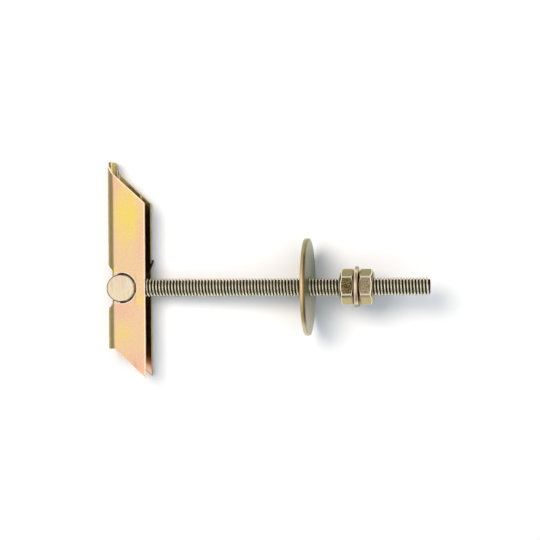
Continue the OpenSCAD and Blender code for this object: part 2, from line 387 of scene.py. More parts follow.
class Finish(Tree):
    """A material under construction, laid out in the bolt's own millimetres."""

    def __init__(self, name):
        self.material = bpy.data.materials.new(name)
        super().__init__(self.material)
        coordinates = self.node("ShaderNodeTexCoord", {}, {})
        place, turn, scale = BOLT.inverted().decompose()
        mapping = self.node("ShaderNodeMapping", {"vector_type": "POINT"}, {
            "Vector": coordinates.outputs["Object"],
            "Location": place,
            "Rotation": turn.to_euler(),
            "Scale": scale,
        })
        self.place = mapping.outputs["Vector"]
        split = self.node("ShaderNodeSeparateXYZ", {}, {"Vector": self.place})
        self.x, self.y, self.z = (Level(self, socket) for socket in split.outputs)

    def vector(self, operation, *values):
        """The result of a Vector Math node."""
        made = self.node("ShaderNodeVectorMath", {"operation": operation}, dict(enumerate(values)))
        return made.outputs["Vector"]

    def noise(self, scale, seed, stretch=(1, 1, 1), detail=2.0, roughness=0.5):
        """Smooth noise from 0 to 1, with about scale waves to a millimetre along each axis whose
        stretch is 1."""
        return self.level("Fac", "ShaderNodeTexNoise", {"noise_dimensions": "4D"}, {
            "Vector": self.vector("MULTIPLY", self.place, stretch),
            "W": seed, "Scale": scale, "Detail": detail, "Roughness": roughness,
        })

    def patch(self, middle, size, fray):
        """1 in the middle of a patch and 0 outside its border, which is frayed by a noise."""
        away = self.vector("DIVIDE", self.vector("SUBTRACT", self.place, middle), size)
        far = self.level("Value", "ShaderNodeVectorMath", {"operation": "LENGTH"}, {0: away})
        return 1 - (far + fray).between(0.1, 1.35)

    def patches(self, places, seed):
        """The highest of several frayed patches, each given by its middle, size and strength."""
        fray = 0.9 * (self.noise(0.5, seed, detail=3.0) - 0.5)
        highest = 0
        for middle, size, strength in places:
            highest = self.math("MAXIMUM", highest, self.patch(middle, size, fray) * strength)
        return highest

    def attribute(self, name):
        """A mark that the mesh carries."""
        return self.level("Fac", "ShaderNodeAttribute", {"attribute_name": name}, {})

    def wear_and_light(self):
        """How much painted highlight on rubbed zinc, and how much staining with painted shade, each place has:
        the mark above 0 and below it.
        """
        mark = self.attribute("wear_and_light")
        return self.math("MAXIMUM", mark, 0), self.math("MAXIMUM", 0 - mark, 0)

    def blend(self, first, second, factor, way="MIX"):
        """first and second mixed by factor, each a colour or a link to one."""
        def four(value):
            """A link as it is, or a colour with its fourth channel."""
            return value if isinstance(value, bpy.types.NodeSocket) else (*value[:3], 1)
        made = self.node("ShaderNodeMix", {"data_type": "RGBA", "blend_type": way},
                         {"Factor": factor, 6: four(first), 7: four(second)})
        return made.outputs[2]

    def layers(self, base, *coats):
        """base under coats laid on in turn, each given by its colour and its factor."""
        for coat, factor in coats:
            base = self.blend(base, coat, factor)
        return base

    def shade(self, base, level):
        """base made darker or lighter by a level round 1."""
        grey = self.node("ShaderNodeCombineXYZ", {}, {"X": level, "Y": level, "Z": level})
        return self.blend(base, grey.outputs["Vector"], 1.0, "MULTIPLY")

    def bump(self, height, depth):
        """Relief of the given depth in millimetres."""
        made = self.node("ShaderNodeBump", {}, {"Height": height, "Distance": depth * MM})
        return made.outputs["Normal"]

    def metal(self, base, roughness, normal, matt=0.0, glancing=(1, 1, 1)):
        """Closes the material as a metal. matt is the share that scatters light evenly, and
        glancing the tone of the metal seen along its surface."""
        return self.close(self.node("ShaderNodeBsdfPrincipled", {}, {
            "Base Color": base, "Roughness": roughness, "Metallic": 1 - matt, "Normal": normal,
            "Specular Tint": (*glancing, 1),
        }))

    def close(self, shader):
        """The material, with its shader joined to the surface."""
        self.node("ShaderNodeOutputMaterial", {}, {"Surface": shader.outputs["BSDF"]})
        return self.material


# Frayed patches of the wing's zinc, each with its middle and size in millimetres and its strength.
GOLD_PATCHES = (((1.4, 16.0, 4), (3.8, 7.8, 6), 0.85), ((0.3, -9.8, 4), (2.8, 3.2, 6), 0.4),
                ((4.2, -2.6, 4), (0.9, 1.4, 6), 0.6), ((-1.7, 3.7, 4), (0.9, 1.1, 2), 0.9),
                ((-3, 4, 0), (2, 5, 3), 0.9), ((-3, -12, -3), (3, 5, 3), 0.9))
ROSE_PATCHES = (((-1.0, 22.5, 4), (1.6, 3.4, 6), 0.8), ((0.3, -4.9, 4), (2.8, 2.6, 6), 0.8),
                ((3.2, -17, 4), (3, 4.5, 6), 0.8), ((4.4, 12, 4), (1.5, 7, 6), 0.8),
                ((-3, 16, 0), (2, 5, 3), 0.8))


def wing_finish(look):
    """Yellow passivated zinc on folded sheet, with pink and gold patches, painted shade inside the fold and on
    the bends, and pale cut edges that are partly a painted highlight.
    """
    finish = Finish("Wing zinc")
    fine = finish.noise(1.6, 1.0, detail=3.0, roughness=0.6)
    grain = finish.noise(3.2, 2.0, detail=3.0)
    rolled = finish.noise(1.0, 5.0, (5, 0.5, 5))
    inside, bent, cut = (finish.attribute(mark) for mark in ("inside", "bent", "cut"))
    # Painted shade inside the fold, lighter near both open ends: paler at the long arm's mouth and rose at the
    # short arm's end.
    inner = finish.layers(
        look.inner,
        (look.mouth, finish.y.between(16.5, 19.5)),
        (look.rose, finish.y.between(-15.2, -18.6) * 0.9))
    # The cut edges are pale, partly a painted highlight, and on the far flange they take the bends' darker
    # tone, a painted shade.
    edges = finish.blend(look.cut, look.dull_and_shaded, finish.z.between(-2.8, -3.2))
    base = finish.layers(
        look.peach,
        (look.rose, finish.patches(ROSE_PATCHES, 8.4)),
        (look.gold, finish.patches(GOLD_PATCHES, 3.1)),
        (look.gold, grain.between(0.5, 0.66) * 0.4),
        (look.rose, fine.between(0.5, 0.66) * 0.5),
        (inner, inside * 0.9),
        # The bends take their darker tone: partly duller zinc, partly painted shade.
        (look.dull_and_shaded, bent * 0.9),
        (edges, cut))
    base = finish.shade(base, 0.81 + 0.18 * fine + 0.28 * grain)
    roughness = look.roughness + 0.2 * (grain - 0.5) - 0.1 * inside + 0.25 * bent + 0.25 * cut
    normal = finish.bump(rolled * 0.5 + grain * 0.5, 0.01)
    return finish.metal(base, roughness, normal, cut * 0.7, look.glancing)


def barrel_finish(look, top):
    """Pale zinc on a turned barrel, with the straight lines of a faced end, and a painted highlight and
    painted shade on its rounded ends.
    """
    finish = Finish("Barrel zinc")
    lines = finish.noise(1.0, 1.0, (2.4, 0.3, 0.3), detail=3.0)
    broad = finish.noise(1.0, 7.0, (1.1, 0.22, 0.3))
    turned = finish.noise(1.0, 9.0, (0.3, 0.3, 6))
    fine = finish.noise(4.0, 4.0)
    edge = finish.attribute("edge")
    base = finish.layers(
        look.cream,
        (look.straw, lines.between(0.45, 0.68) * 0.9),
        (look.blush, broad.between(0.5, 0.66) * 0.7))
    base = finish.shade(base, 0.47 + 0.82 * lines + 0.22 * fine)
    # Painted highlight on the rounded ends towards +X, painted shade towards -X.
    base = finish.blend(base, finish.blend(look.painted_edge_shade, look.bright, finish.x.between(0.4, 1.8)), edge)
    ends = abs(finish.z).between(top - 0.3, top - 0.1)
    roughness = look.roughness + 0.2 * (lines - 0.5) + 0.2 * edge
    return finish.metal(base, roughness, finish.bump(lines * ends + turned * (1 - ends), 0.015))


def spring_finish(look):
    """Drawn steel wire."""
    finish = Finish("Spring wire")
    streaks = finish.noise(1.2, 1.0, detail=3.0)
    base = finish.blend(look.steel, look.oil, streaks.between(0.4, 0.65))
    return finish.metal(base, 0.3 + 0.15 * (streaks - 0.5), finish.bump(streaks, 0.01))


def rod_finish(look, radius, depth):
    """Rolled thread: painted shade in the grooves, and crests rubbed paler that partly carry a painted
    highlight.
    """
    finish = Finish("Rod zinc")
    stain_and_shade = finish.noise(0.6, 1.0, detail=3.0, roughness=0.6)
    fine = finish.noise(3.5, 2.0)
    out = finish.math("SQRT", finish.y * finish.y + finish.z * finish.z)
    crest = out.between(radius - 0.8 * depth, radius - 0.3 * depth)
    # Painted shade in the grooves and a painted highlight on the crests, which are also rubbed paler.
    base = finish.layers(
        look.grooves,
        (look.crests, crest),
        (look.rose, stain_and_shade.between(0.54, 0.66) * 0.25))
    # Painted light: the rod is painted darker on its +Y side and lighter on its -Y side.
    sides = 0.16 * finish.y.between(1.2, 0.4) + 0.06 * finish.y.between(0, -1)
    base = finish.shade(base, 0.61 + 0.3 * stain_and_shade + 0.34 * fine + sides)
    roughness = look.roughness + 0.2 * (1 - crest) + 0.16 * (fine - 0.5)
    return finish.metal(base, roughness, finish.bump(fine, 0.012), crest * 0.1, look.glancing)


def large_washer_finish(look, middle):
    """Olive zinc with a bluish bloom, a beige lower half that is painted light, and a rim that is partly
    rubbed zinc and partly a painted highlight, with a painted line of shade beside it.
    """
    finish = Finish("Large washer zinc")
    fine = finish.noise(1.8, 3.0, detail=3.0, roughness=0.6)
    grain = finish.noise(5.0, 4.0)
    # Painted light: the lower half, towards -Y, is painted lighter.
    waved = finish.y + 5 * (finish.noise(0.12, 6.5) - 0.5)
    worn_and_highlit, stained_and_shaded = finish.wear_and_light()
    # The rim's painted highlight and painted line of shade fade where the rim faces along Y, away from
    # overhead.
    ends = abs(finish.y).between(5, 9)
    base = finish.layers(
        look.olive,
        (look.bloom, finish.patches((((middle, 5.5, -2), (3, 3.4, 3), 0.8),), 2.0)),
        (look.blush, waved.between(1, -4)),
        (look.rim, worn_and_highlit * (1 - 0.85 * ends)),
        (look.seam, stained_and_shaded * (1 - 0.6 * ends)))
    base = finish.shade(base, 0.68 + 0.42 * fine + 0.22 * grain)
    roughness = look.roughness + 0.2 * (fine - 0.5)
    return finish.metal(base, roughness, finish.bump(fine * 0.6 + grain * 0.4, 0.014), worn_and_highlit * 0.1)


def small_washer_finish(look, start, end):
    """Gold zinc on one side and paler rose on the other, partly a painted highlight, with painted shade in
    olive where the rim turns away.
    """
    finish = Finish("Small washer zinc")
    fine = finish.noise(2.2, 3.0, detail=3.0, roughness=0.6)
    across = finish.x + 0.5 * (fine - 0.5)
    base = finish.layers(
        look.rose,
        (look.gold, across.between(start, end)),
        (look.blush, fine.between(0.5, 0.62) * 0.8),
        # Painted shade: olive where the rim turns away, towards ±Y.
        (look.olive, abs(finish.y).between(3.4, 4.2)))
    base = finish.shade(base, 0.76 + 0.5 * fine)
    matt = 0.5 * finish.x.between((start + end) / 2, start)
    return finish.metal(base, look.roughness + 0.2 * (fine - 0.5), finish.bump(fine, 0.014), matt)


def nut_finish(look, between_nuts):
    """Olive zinc, painted lighter towards -Y and darker and mottled on the uppermost flat, with rubbed edges
    that carry a painted highlight, and painted shade beside them and by the small washer.
    """
    finish = Finish("Nut zinc")
    mottle = finish.noise(3.0, 1.0, detail=3.0, roughness=0.7)
    fine = finish.noise(5.0, 2.0)
    worn_and_highlit, stained_and_shaded = finish.wear_and_light()
    # The uppermost flat is painted darker and mottled: partly mottled zinc, partly painted shade.
    upper = finish.z.between(2.4, 3.2)
    outer = finish.x.between(*between_nuts)
    # Painted shade on the nuts beside the small washer between them.
    from_washer = abs(finish.x - sum(between_nuts) / 2)
    base = finish.layers(
        look.olive,
        # Painted light: the nuts are painted lighter towards -Y.
        (look.straw, finish.y.between(0.8, -2.6)),
        (finish.blend(look.umber, look.blush, outer), upper * 0.9),
        (look.stain_and_shade, upper * mottle.between(0.46, 0.54) * (0.9 - 0.4 * outer)))
    # Rubbed edges with a painted highlight, painted lines of shade beside them, and painted shade by the small
    # washer.
    base = finish.layers(
        finish.shade(base, 0.8 + 0.26 * mottle + 0.14 * fine),
        (look.edge, worn_and_highlit),
        (look.stain_and_shade, stained_and_shaded),
        (look.stain_and_shade, from_washer.between(1.1, 0.75) * 0.8))
    roughness = look.roughness + 0.2 * (mottle - 0.5)
    return finish.metal(base, roughness, finish.bump(mottle * 0.7 + fine * 0.3, 0.03), worn_and_highlit * 0.6)


# Meshes

MERGE = 0.001           # Points closer than this are one point, in mm.
LARGE_FACES = 80        # How far the large faces set the normals, from 1 to 100.


def grid_faces(rows, columns, close_rows=False, close_columns=False):
    """Quads over points that are listed row by row."""
    faces = []
    for i in range(rows if close_rows else rows - 1):
        for j in range(columns if close_columns else columns - 1):
            here = i * columns
            there = (i + 1) % rows * columns
            k = (j + 1) % columns
            faces.append((here + j, here + k, there + k, there + j))
    return faces


def put(name, data):
    """A new object in the scene."""
    made = bpy.data.objects.new(name, data)
    bpy.context.scene.collection.objects.link(made)
    return made


def add_piece(name, points, faces, marks=None, domain="POINT"):
    """A new mesh from points in the bolt's own millimetres, with smooth shading. marks are named
    levels, one for each point or face."""
    mesh = bpy.data.meshes.new(name)
    mesh.from_pydata([BOLT @ Vector(point) for point in points], [], faces)
    for mark, levels in (marks or {}).items():
        mesh.attributes.new(mark, "FLOAT", domain).data.foreach_set("value", levels)
    mesh.shade_smooth()
    mesh.update()
    return put(name, mesh)


@contextmanager
def opened(piece):
    """A piece's mesh open for changes, closed again with every face turned outwards."""
    shape = bmesh.new()
    shape.from_mesh(piece.data)
    yield shape
    bmesh.ops.recalc_face_normals(shape, faces=shape.faces)
    shape.to_mesh(piece.data)
    shape.free()


def tidy(piece, merge=0.0):
    """Merges doubled points, if asked to, and turns every face outwards."""
    with opened(piece) as shape:
        if merge:
            bmesh.ops.remove_doubles(shape, verts=shape.verts, dist=merge * MM)


def flatten_sides(piece):
    """Lets the large faces keep their own normals, so that only the roundings shade round."""
    weighted = piece.modifiers.new("Weighted normals", "WEIGHTED_NORMAL")
    weighted.mode = "FACE_AREA"
    weighted.weight = LARGE_FACES


def rounded(corners, steps):
    """A closed outline with each corner, given with its radius and a level of rubbing and painted light,
    turned into an arc. Gives the outline's points and that level for each."""
    points = []
    levels = []
    for i, (*corner, radius, wear_and_light) in enumerate(corners):
        corner = Vector(corner)
        if not radius:
            points.append(corner)
            levels.append(wear_and_light)
            continue
        before = (Vector(corners[i - 1][:2]) - corner).normalized()
        after = (Vector(corners[(i + 1) % len(corners)][:2]) - corner).normalized()
        half = before.angle(after) / 2
        middle = corner + (before + after).normalized() * radius / sin(half)
        start = (corner + before * radius / tan(half) - middle).normalized()
        end = (corner + after * radius / tan(half) - middle).normalized()
        points += [middle + start.slerp(end, step / steps) * radius for step in range(steps + 1)]
        levels += [wear_and_light] * (steps + 1)
    return points, levels


def revolve(name, outline_at, sides):
    """A closed ring round the rod. outline_at gives its outline at an angle, as places along and
    out from the rod, and the level of rubbing and painted light of each."""
    points = []
    wear_and_light = []
    for i in range(sides):
        turn = 2 * pi * i / sides
        outline, levels = outline_at(turn)
        points += [(along, out * cos(turn), out * sin(turn)) for along, out in outline]
        wear_and_light += levels
    piece = add_piece(name, points, grid_faces(sides, len(outline), True, True), {"wear_and_light": wear_and_light})
    tidy(piece)
    flatten_sides(piece)
    return piece


def dress(piece, material, node, body=None):
    """Gives a piece its material and lets it stand for its CAD node."""
    piece.data.materials.clear()
    piece.data.materials.append(material)
    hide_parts(node)
    if body:
        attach(piece, body)


# Toggle wing

SEAT_STEPS = 20         # Steps round a quarter of a seat.
BEND_STEPS = 10         # Steps round a bend.
ARM_STEPS = 6           # Steps along each arm.
WINDOW_STEP = 1e-4      # The share of a bend in which the window's edge steps out.
TINY = 1e-6             # Less than any real difference between two levels.
SLIVER = 0.0015         # Faces smaller than this lie between the two sides of a step, in mm2.
WINDOW_REACH = 8.0      # The window and its steps lie this near the pin, in mm.
SHARP = radians(50)     # Edges that turn by more than this are rounded.
ROLL_STEPS = 4          # Steps round each rounded edge.
# The inner faces' tone is a painted shade, and the sheared ends take part of it.
CUT_INSIDE = 0.6        # How far the sheared ends take the tone of the inner faces.
CUT_RIM = 0.3           # How far the flanges' sheared rims count as cut edges.


class FoldedSheet:
    """The wing's blank and how it is folded. A place on the blank is u, round the channel from
    the middle of the web, and y, along the arms."""

    def __init__(self, look):
        self.sheet, self.inside, seat_play = in_mm(look, "sheet", "bend", "seat_play")
        self.shoulder, self.long_rim, self.short_web = in_mm(
            look, "long_shoulder", "long_rim", "short_web")
        self.window_long, self.window_short, self.taper = in_mm(
            look, "window_long", "window_short", "window_taper")
        self.stop = look.window_stop / (pi / 2)
        self.low, self.high = reach("toggle_wing", 2)
        self.short_rim, self.long_web = reach("toggle_wing", 1)
        self.back, self.front = reach("toggle_wing", 0)
        self.outside = self.inside + self.sheet
        self.half = (self.high - self.low) / 2 - self.outside
        self.centre = (self.high + self.low) / 2
        self.bend_x = self.back + self.outside
        self.bend_len = (self.inside + self.sheet / 2) * pi / 2
        self.seat = reach("barrel_nut", 1)[1] + seat_play

    def place(self, u, y, depth):
        """A point of the folded sheet, depth in from its outer face."""
        past = abs(u) - self.half
        if past <= 0:
            return self.back + depth, y, self.centre + u
        turn = min(past / self.bend_len, 1) * pi / 2
        out = self.outside - depth
        x = self.bend_x - out * cos(turn) + max(past - self.bend_len, 0)
        return x, y, self.centre + copysign(self.half + out * sin(turn), u)

    def turned(self, u):
        """How far round the bend u is, from 0 at the flange to 1 at the web."""
        return min(max(1 - (abs(u) - self.half) / self.bend_len, 0), 1)

    def out(self, u):
        """How far along the rod a place on the outer face lies."""
        return self.place(u, 0, 0)[0]

    def hole(self, u, arm):
        """Edge of the window and the seats on one arm, 1 for the long arm and -1 for the other."""
        circle = sqrt(max(self.seat ** 2 - self.out(u) ** 2, 0))
        if self.turned(u) < self.stop - TINY:
            return arm * circle
        wide = self.window_long if arm > 0 else self.window_short
        climbed = (self.turned(u) - self.stop) / (1 - self.stop)
        return arm * max(circle, wide - self.taper * (1 - climbed))

    def end(self, u, arm):
        """Outer end of one arm."""
        x = self.out(u)
        along = max(x - self.bend_x, 0) / (self.front - self.bend_x)
        if arm < 0:
            return -self.short_web + (self.short_rim + self.short_web) * along
        if x > self.bend_x:
            return self.shoulder + (self.long_rim - self.shoulder) * along
        return self.shoulder + (self.long_web - self.shoulder) * self.turned(u)

    def columns(self):
        """Places round the channel where the sheet has points, on its positive side."""
        flat = self.half + self.bend_len - self.bend_x
        sweep = pi / 2 + asin(-self.bend_x / self.seat)
        turns = [pi / 2 - step * sweep / SEAT_STEPS for step in range(SEAT_STEPS)]
        across = [self.front, (self.front + self.seat) / 2] + [self.seat * sin(turn) for turn in turns]
        shares = {0, self.stop - WINDOW_STEP, self.stop}
        shares |= {step / BEND_STEPS for step in range(2, BEND_STEPS + 1)}
        places = [flat + x for x in across]
        places += [self.half + self.bend_len * (1 - turned) for turned in sorted(shares)]
        return places + [self.half * step / 3 for step in (2, 1)]


def folded_mesh(name, sheet):
    """The folded sheet as a closed mesh: both faces of the blank and its cut edges."""
    side = sheet.columns()
    columns = side + [0.0] + [-u for u in reversed(side)]
    blank = []
    index = {}
    outer = []

    def spot(u, y):
        """The blank's point at a place, made once."""
        key = (round(u, 5), round(y, 5))
        if key not in index:
            index[key] = len(blank)
            blank.append((u, y))
        return index[key]

    for arm in (1, -1):
        for left, right in zip(columns, columns[1:]):
            for row in range(ARM_STEPS):
                corners = []
                for u, step in ((left, row), (right, row), (right, row + 1), (left, row + 1)):
                    start = sheet.hole(u, arm)
                    corners.append(spot(u, start + (sheet.end(u, arm) - start) * step / ARM_STEPS))
                face = [c for i, c in enumerate(corners) if c != corners[i - 1]]
                if len(face) > 2:
                    outer.append(face if arm < 0 else face[::-1])
    flat_points = len(blank)
    points = [sheet.place(u, y, depth) for depth in (0, sheet.sheet) for u, y in blank]
    used = {(a, b) for face in outer for a, b in zip(face, face[1:] + face[:1])}
    rim = sorted((b, a, a + flat_points, b + flat_points)
                 for a, b in used if (b, a) not in used)
    inner = [[corner + flat_points for corner in reversed(face)] for face in outer]
    faces = outer + inner + rim
    turned = [sheet.turned(u) for u, y in blank]
    bent = [float(0 < sum(turned[corner] for corner in face) / len(face) < 1 - TINY)
            for face in outer]
    flat = [float(max(turned[a], turned[b]) < TINY) for a, b, *_ in rim]
    marks = {
        "inside": ([0.0] * len(outer) + [1.0] * len(inner)
                   + [CUT_INSIDE * (1 - level) for level in flat]),
        "bent": bent + [0.0] * (len(inner) + len(rim)),
        "cut": [0.0] * (len(outer) + len(inner)) + [CUT_RIM * level for level in flat],
    }
    return add_piece(name, points, faces, marks, "FACE")


def roll_edges(wing, edge_round):
    """Rounds the sheared edges and marks them as cut. The steps in the window stay square."""
    with opened(wing) as shape:
        slivers = [face for face in shape.faces if face.calc_area() < SLIVER * MM ** 2]
        steps = {point for face in slivers for point in face.verts
                 if abs(point.co.y) < WINDOW_REACH * MM}
        sharp = [edge for edge in shape.edges
                 if edge.calc_face_angle(0) > SHARP and steps.isdisjoint(edge.verts)]
        rolled = bmesh.ops.bevel(shape, geom=sharp, offset=edge_round, offset_type="OFFSET",
                                 segments=ROLL_STEPS, profile=0.5, affect="EDGES",
                                 clamp_overlap=True)
        cut = shape.faces.layers.float["cut"]
        for face in rolled["faces"]:
            face[cut] = 1


class BOLT_OT_wing(bpy.types.Operator):
    """Folds the toggle wing from its blank"""

    bl_idname = "toggle_bolt.wing"
    bl_label = "Toggle Wing"

    def execute(self, context):
        look = context.scene.toggle_bolt.wing
        wing = folded_mesh("Toggle_wing", FoldedSheet(look))
        tidy(wing, MERGE)
        roll_edges(wing, look.edge_round)
        flatten_sides(wing)
        dress(wing, wing_finish(look), "toggle_wing", "wing")
        return {"FINISHED"}


# Barrel nut

BORE_SIDES = 64         # Points round the bore.
BARREL_RINGS = 10       # Rings from the bore to the barrel's ends.
END_STEPS = 5           # Steps round a rounded end.


def barrel_mesh(radius, low, high, bore, edge_round):
    """A barrel along Z with a round bore along X, built of two half shells round the bore."""
    points = []
    for front in (1, -1):
        for ring in range(BARREL_RINGS + 1):
            for i in range(BORE_SIDES):
                turn = 2 * pi * i / BORE_SIDES
                start = Vector((asin(bore * cos(turn) / radius), bore * sin(turn)))
                stretch = 1 / max(abs(cos(turn)), abs(sin(turn)))
                far_turn, far_z = stretch * cos(turn) * pi / 2, stretch * sin(turn)
                top = high - edge_round if far_z > 0 else low + edge_round
                end = Vector((far_turn, abs(far_z) * top))
                round_turn, z = start.lerp(end, ring / BARREL_RINGS)
                points.append((front * radius * cos(round_turn), radius * sin(round_turn), z))
    shell = grid_faces(BARREL_RINGS + 1, BORE_SIDES, False, True)
    span = (BARREL_RINGS + 1) * BORE_SIDES
    faces = shell + [tuple(span + corner for corner in face) for face in shell]
    for i in range(BORE_SIDES):
        k = (i + 1) % BORE_SIDES
        faces.append((i, k, span + k, span + i))
    return points, faces


def close_ends(barrel, radius, low, high, edge_round):
    """Rounds both ends over and closes them, and marks the roundings."""
    back = BOLT.inverted()
    with opened(barrel) as shape:
        for end, way in ((low, -1), (high, 1)):
            loop = [edge for edge in shape.edges if edge.is_boundary
                    and all((back @ vertex.co).z * way > 0 for vertex in edge.verts)]
            for step in range(1, END_STEPS + 1):
                turn = pi / 2 * step / END_STEPS
                grown = bmesh.ops.extrude_edge_only(shape, edges=loop)["geom"]
                out = radius - edge_round * (1 - cos(turn))
                up = end - way * edge_round * (1 - sin(turn))
                for vertex in (part for part in grown if isinstance(part, bmesh.types.BMVert)):
                    own = back @ vertex.co
                    flat = Vector((own.x, own.y)).normalized() * out
                    vertex.co = BOLT @ Vector((flat.x, flat.y, up))
                loop = [part for part in grown if isinstance(part, bmesh.types.BMEdge)]
            bmesh.ops.contextual_create(shape, geom=loop)
        edge = shape.faces.layers.float.new("edge")
        for face in shape.faces:
            middle = back @ face.calc_center_median()
            from_end = min(middle.z - low, high - middle.z)
            face[edge] = float(edge_round / 100 < from_end < edge_round)
    barrel.data.shade_smooth()


class BOLT_OT_barrel(bpy.types.Operator):
    """Turns the barrel nut and bores it for the rod"""

    bl_idname = "toggle_bolt.barrel"
    bl_label = "Barrel Nut"

    def execute(self, context):
        look = context.scene.toggle_bolt.barrel
        radius = reach("barrel_nut", 1)[1]
        low, high = reach("barrel_nut", 2)
        bore_play, edge_round = in_mm(look, "bore_play", "edge_round")
        bore = reach("threaded_rod", 1)[1] + bore_play
        points, faces = barrel_mesh(radius, low, high, bore, edge_round)
        barrel = add_piece("Barrel_nut", points, faces)
        tidy(barrel, MERGE)
        close_ends(barrel, radius, low, high, edge_round)
        flatten_sides(barrel)
        dress(barrel, barrel_finish(look, high), "barrel_nut", "rod")
        return {"FINISHED"}


# Return spring

WIRE_SIDES = 12         # Points round the wire.
COIL_STEP = radians(7.5)        # Turn from one point of the coil to the next.
LEG_BEND = (0.86, 0.65, 0.4)    # Where the leg bends to the coil, as shares of its length.
LEG_STEPS = 12          # Steps along that bend.
HOOK_STEPS = 8          # Steps along each half of the hook.


def curve_through(controls, steps):
    """Points of a cubic curve, without its last."""
    a, b, c, d = (Vector(control) for control in controls)
    points = []
    for t in (step / steps for step in range(steps)):
        points.append(a * (1 - t) ** 3 + b * 3 * t * (1 - t) ** 2 + c * 3 * t * t * (1 - t) + d * t ** 3)
    return points


def swept(route, radius, sides):
    """Points and faces of a round wire along a route."""
    points = []
    last = len(route) - 1
    for i, spot in enumerate(route):
        way = (route[min(i + 1, last)] - route[max(i - 1, 0)]).normalized()
        aside = way.cross(Vector((0, 0, 1))).normalized()
        above = aside.cross(way)
        for k in range(sides):
            turn = 2 * pi * k / sides
            points.append(spot + radius * (cos(turn) * aside + sin(turn) * above))
    faces = grid_faces(len(route), sides, False, True)
    faces.append(tuple(range(sides)))
    faces.append(tuple(range(last * sides, (last + 1) * sides)))
    return points, faces


def wire_route(look, sheet):
    """The wire's middle line from the leg beside the rod to the hook over the rim, and the
    levels of the coil's first and last points."""
    wire, pitch, coil_play, play, leg, rim_y, hook = in_mm(
        look, "wire", "pitch", "coil_play", "wire_play", "rod_leg", "hook_place", "hook")
    wire_r = wire / 2
    rod_r = reach("threaded_rod", 1)[1]
    coil_r = reach("barrel_nut", 1)[1] + coil_play + wire_r
    top = -rod_r - coil_play - wire_r
    rim_x = sheet.front + play + wire_r
    leave = atan2(rim_y, rim_x) - acos(coil_r / hypot(rim_x, rim_y))
    sweep = 3 * pi / 2 + leave + 2 * pi * look.turns
    leg_y = rod_r + play + wire_r

    def coil(turn):
        """A point of the coil's middle line."""
        return Vector((-coil_r * sin(turn), coil_r * cos(turn), top - pitch * turn / (2 * pi)))

    high, middle, low = (share * leg for share in LEG_BEND)
    route = [Vector((leg, leg_y, rod_r / 4))]
    route += curve_through([(high, leg_y, -rod_r / 2), (middle, leg_y + wire_r, top + wire_r),
                            (low, coil_r, top), coil(0)], LEG_STEPS)
    steps = ceil(sweep / COIL_STEP)
    route += [coil(sweep * step / steps) for step in range(steps + 1)]
    run = 4 * wire_r
    over = Vector((rim_x, rim_y, sheet.low + sheet.sheet + play + 2 * wire_r))
    before = over - run * Vector((-sin(leave), cos(leave), 0))
    down = Vector((rim_x, rim_y + 2 * wire_r, sheet.low))
    tip = Vector((rim_x - wire_r - hook, rim_y + run, sheet.low - play - wire_r))
    route += curve_through([before, over, over + Vector((0, wire_r, -wire_r)), down], HOOK_STEPS)
    route += curve_through([down, down - Vector((0, 0, 2 * wire_r)),
                            tip + Vector((hook / 2, 0, 0)), tip], HOOK_STEPS)
    return route + [tip], top, coil(sweep).z


class BOLT_OT_spring(bpy.types.Operator):
    """Winds the return spring round the barrel nut"""

    bl_idname = "toggle_bolt.spring"
    bl_label = "Return Spring"

    def execute(self, context):
        look = context.scene.toggle_bolt.spring
        sheet = FoldedSheet(context.scene.toggle_bolt.wing)
        route, top, low = wire_route(look, sheet)
        points, faces = swept(route, look.wire / MM / 2, WIRE_SIDES)
        spring = add_piece("Return_spring", points, faces)
        tidy(spring)
        dress(spring, spring_finish(look), "return_spring")
        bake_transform(spring, "rod", "wing", start=BOLT @ Vector((0, 0, top)), end=BOLT @ Vector((0, 0, low)))
        return {"FINISHED"}


# Threaded rod

def thread_mesh(look, start, end, radius):
    """The rod's thread, a sheared grid whose rows follow the helix."""
    pitch, depth, chamfer = in_mm(look, "pitch", "depth", "chamfer")
    flank = (1 - look.crest - look.root) / 2

    def profile(phase):
        """Depth share at a phase of the pitch: 0 on the crest and 1 in the root."""
        off = abs((phase + 0.5) % 1 - 0.5)
        climbed = min(max((off - look.crest / 2) / flank, 0), 1)
        return climbed * climbed * (3 - 2 * climbed) * 0.5 + climbed * 0.5

    rows = ceil((end - start) / pitch + 1) * look.steps + 1
    points = []
    for i in range(rows):
        phase = i / look.steps
        for j in range(look.sides):
            turn = 2 * pi * j / look.sides
            x = start - pitch + (phase + j / look.sides) * pitch
            cone = radius - chamfer + min(x - start, end - x)
            out = min(radius - depth * profile(phase), max(cone, radius - chamfer - pitch))
            points.append((x, out * cos(turn), out * sin(turn)))
    faces = []
    for i in range(rows - 1):
        for j in range(look.sides):
            here, there = i * look.sides + j, (i + 1) * look.sides + j
            if j + 1 < look.sides:
                faces.append((here, here + 1, there + 1, there))
            elif i + look.steps + 1 < rows:
                turned = (i + look.steps) * look.sides
                faces.append((here, turned, turned + look.sides, there))
    return points, faces


